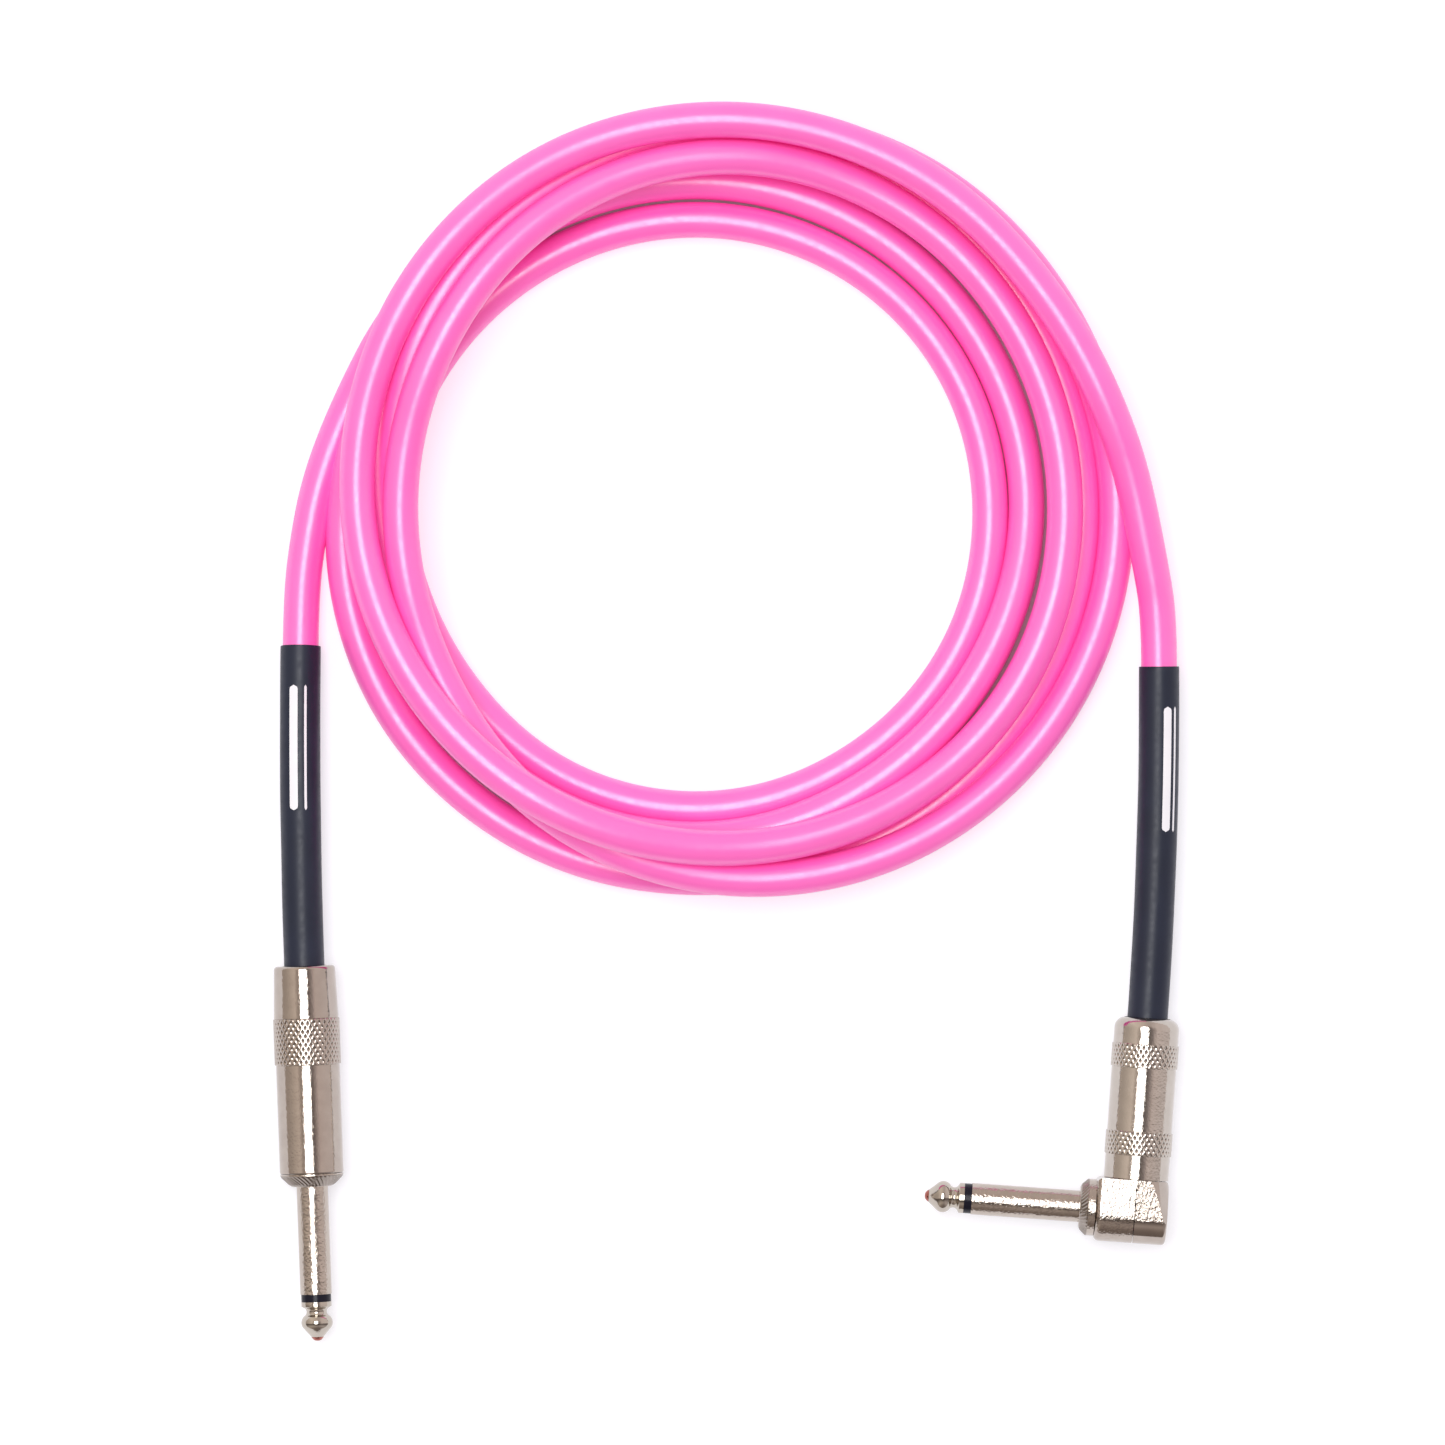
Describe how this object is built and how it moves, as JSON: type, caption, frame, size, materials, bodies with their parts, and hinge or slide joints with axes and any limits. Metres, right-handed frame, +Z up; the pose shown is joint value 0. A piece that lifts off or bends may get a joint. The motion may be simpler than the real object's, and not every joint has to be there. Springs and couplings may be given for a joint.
{
  "type": "instrument cable",
  "caption": "Coiled round audio cable with a straight 6.35 mm plug at one end and a right-angle 6.35 mm plug at the other, with sleeved strain reliefs and screw-off plug barrels.",
  "frame": {"origin": "on the surface the cable lies on, under the middle of the box round the two plugs and their boots", "axes": "+X from the straight plug towards the right-angle plug, +Y from the plugs towards the coil, +Z up"},
  "size_m": [0.1812, 0.249, 0.0265],
  "materials": {
    "cable_jacket": "glossy pink PVC",
    "boot": "satin black heat-shrink with two thin white bands",
    "nickel_shell": "bright nickel plate with knurled bands",
    "nickel_body": "bright nickel plate",
    "tip_metal": "bright nickel plate, warm",
    "insulator": "black nylon",
    "washer": "brown fibre washer",
    "liner": "milky plastic tube",
    "tinned_metal": "tinned",
    "core_plastic": "natural polyethylene",
    "copper": "stranded copper",
    "solder": "bright solder"
  },
  "bodies": {
    "root": {"cable_coil": "cable_jacket", "cable_tail_straight": "cable_jacket", "cable_tail_angled": "cable_jacket", "straight_jacket_end": "cable_jacket", "straight_boot": "boot", "straight_tip": "tip_metal", "straight_tip_insulator": "insulator", "straight_rear_insulator": "washer", "straight_tip_lug": "tinned_metal", "straight_ground_clamp": "tinned_metal", "straight_core_insulation": "core_plastic", "straight_centre_wire": "copper", "straight_shield_wire": "copper", "straight_tip_solder": "solder", "angled_jacket_end": "cable_jacket", "angled_boot": "boot", "angled_tip": "tip_metal", "angled_tip_insulator": "insulator", "angled_rear_insulator": "washer", "angled_tip_lug": "tinned_metal", "angled_ground_clamp": "tinned_metal", "angled_core_insulation": "core_plastic", "angled_centre_wire": "copper", "angled_shield_wire": "copper", "angled_tip_solder": "solder", "straight_body": "nickel_body", "angled_sleeve": "nickel_body", "angled_elbow": "nickel_body"},
    "straight_slider": {"straight_liner": "liner"},
    "straight_shell": {"straight_barrel": "nickel_shell"},
    "angled_slider": {"angled_liner": "liner"},
    "angled_shell": {"angled_barrel": "nickel_shell"},
    "cover": {"angled_elbow_cover": "nickel_body"}
  },
  "joints": [
    {"name": "straight_barrel_slide", "type": "slide", "parent": "root", "child": "straight_slider", "axis": [-0.0358, 0.9994, 0], "range_m": [0, 0.005]},
    {"name": "straight_barrel_turn", "type": "hinge", "parent": "straight_slider", "child": "straight_shell", "pos_m": [-0.0828, -0.0388, 0.00665], "axis": [-0.0358, 0.9994, 0], "range_deg": [0, 1836]},
    {"name": "angled_barrel_slide", "type": "slide", "parent": "root", "child": "angled_slider", "axis": [0.0715, 0.9974, 0], "range_m": [0, 0.005]},
    {"name": "angled_barrel_turn", "type": "hinge", "parent": "angled_slider", "child": "angled_shell", "pos_m": [0.0815, -0.04365, 0.0067], "axis": [0.0715, 0.9974, 0], "range_deg": [0, 1836]},
    {"name": "elbow_cover_slide", "type": "slide", "parent": "root", "child": "cover", "axis": [0.9974, -0.0715, 0], "range_m": [0, 0.012]}
  ],
  "couplings": [
    {"joint": "straight_barrel_turn", "follows": "straight_barrel_slide", "rad_per_m": 6283.2},
    {"joint": "angled_barrel_turn", "follows": "angled_barrel_slide", "rad_per_m": 6283.2}
  ]
}
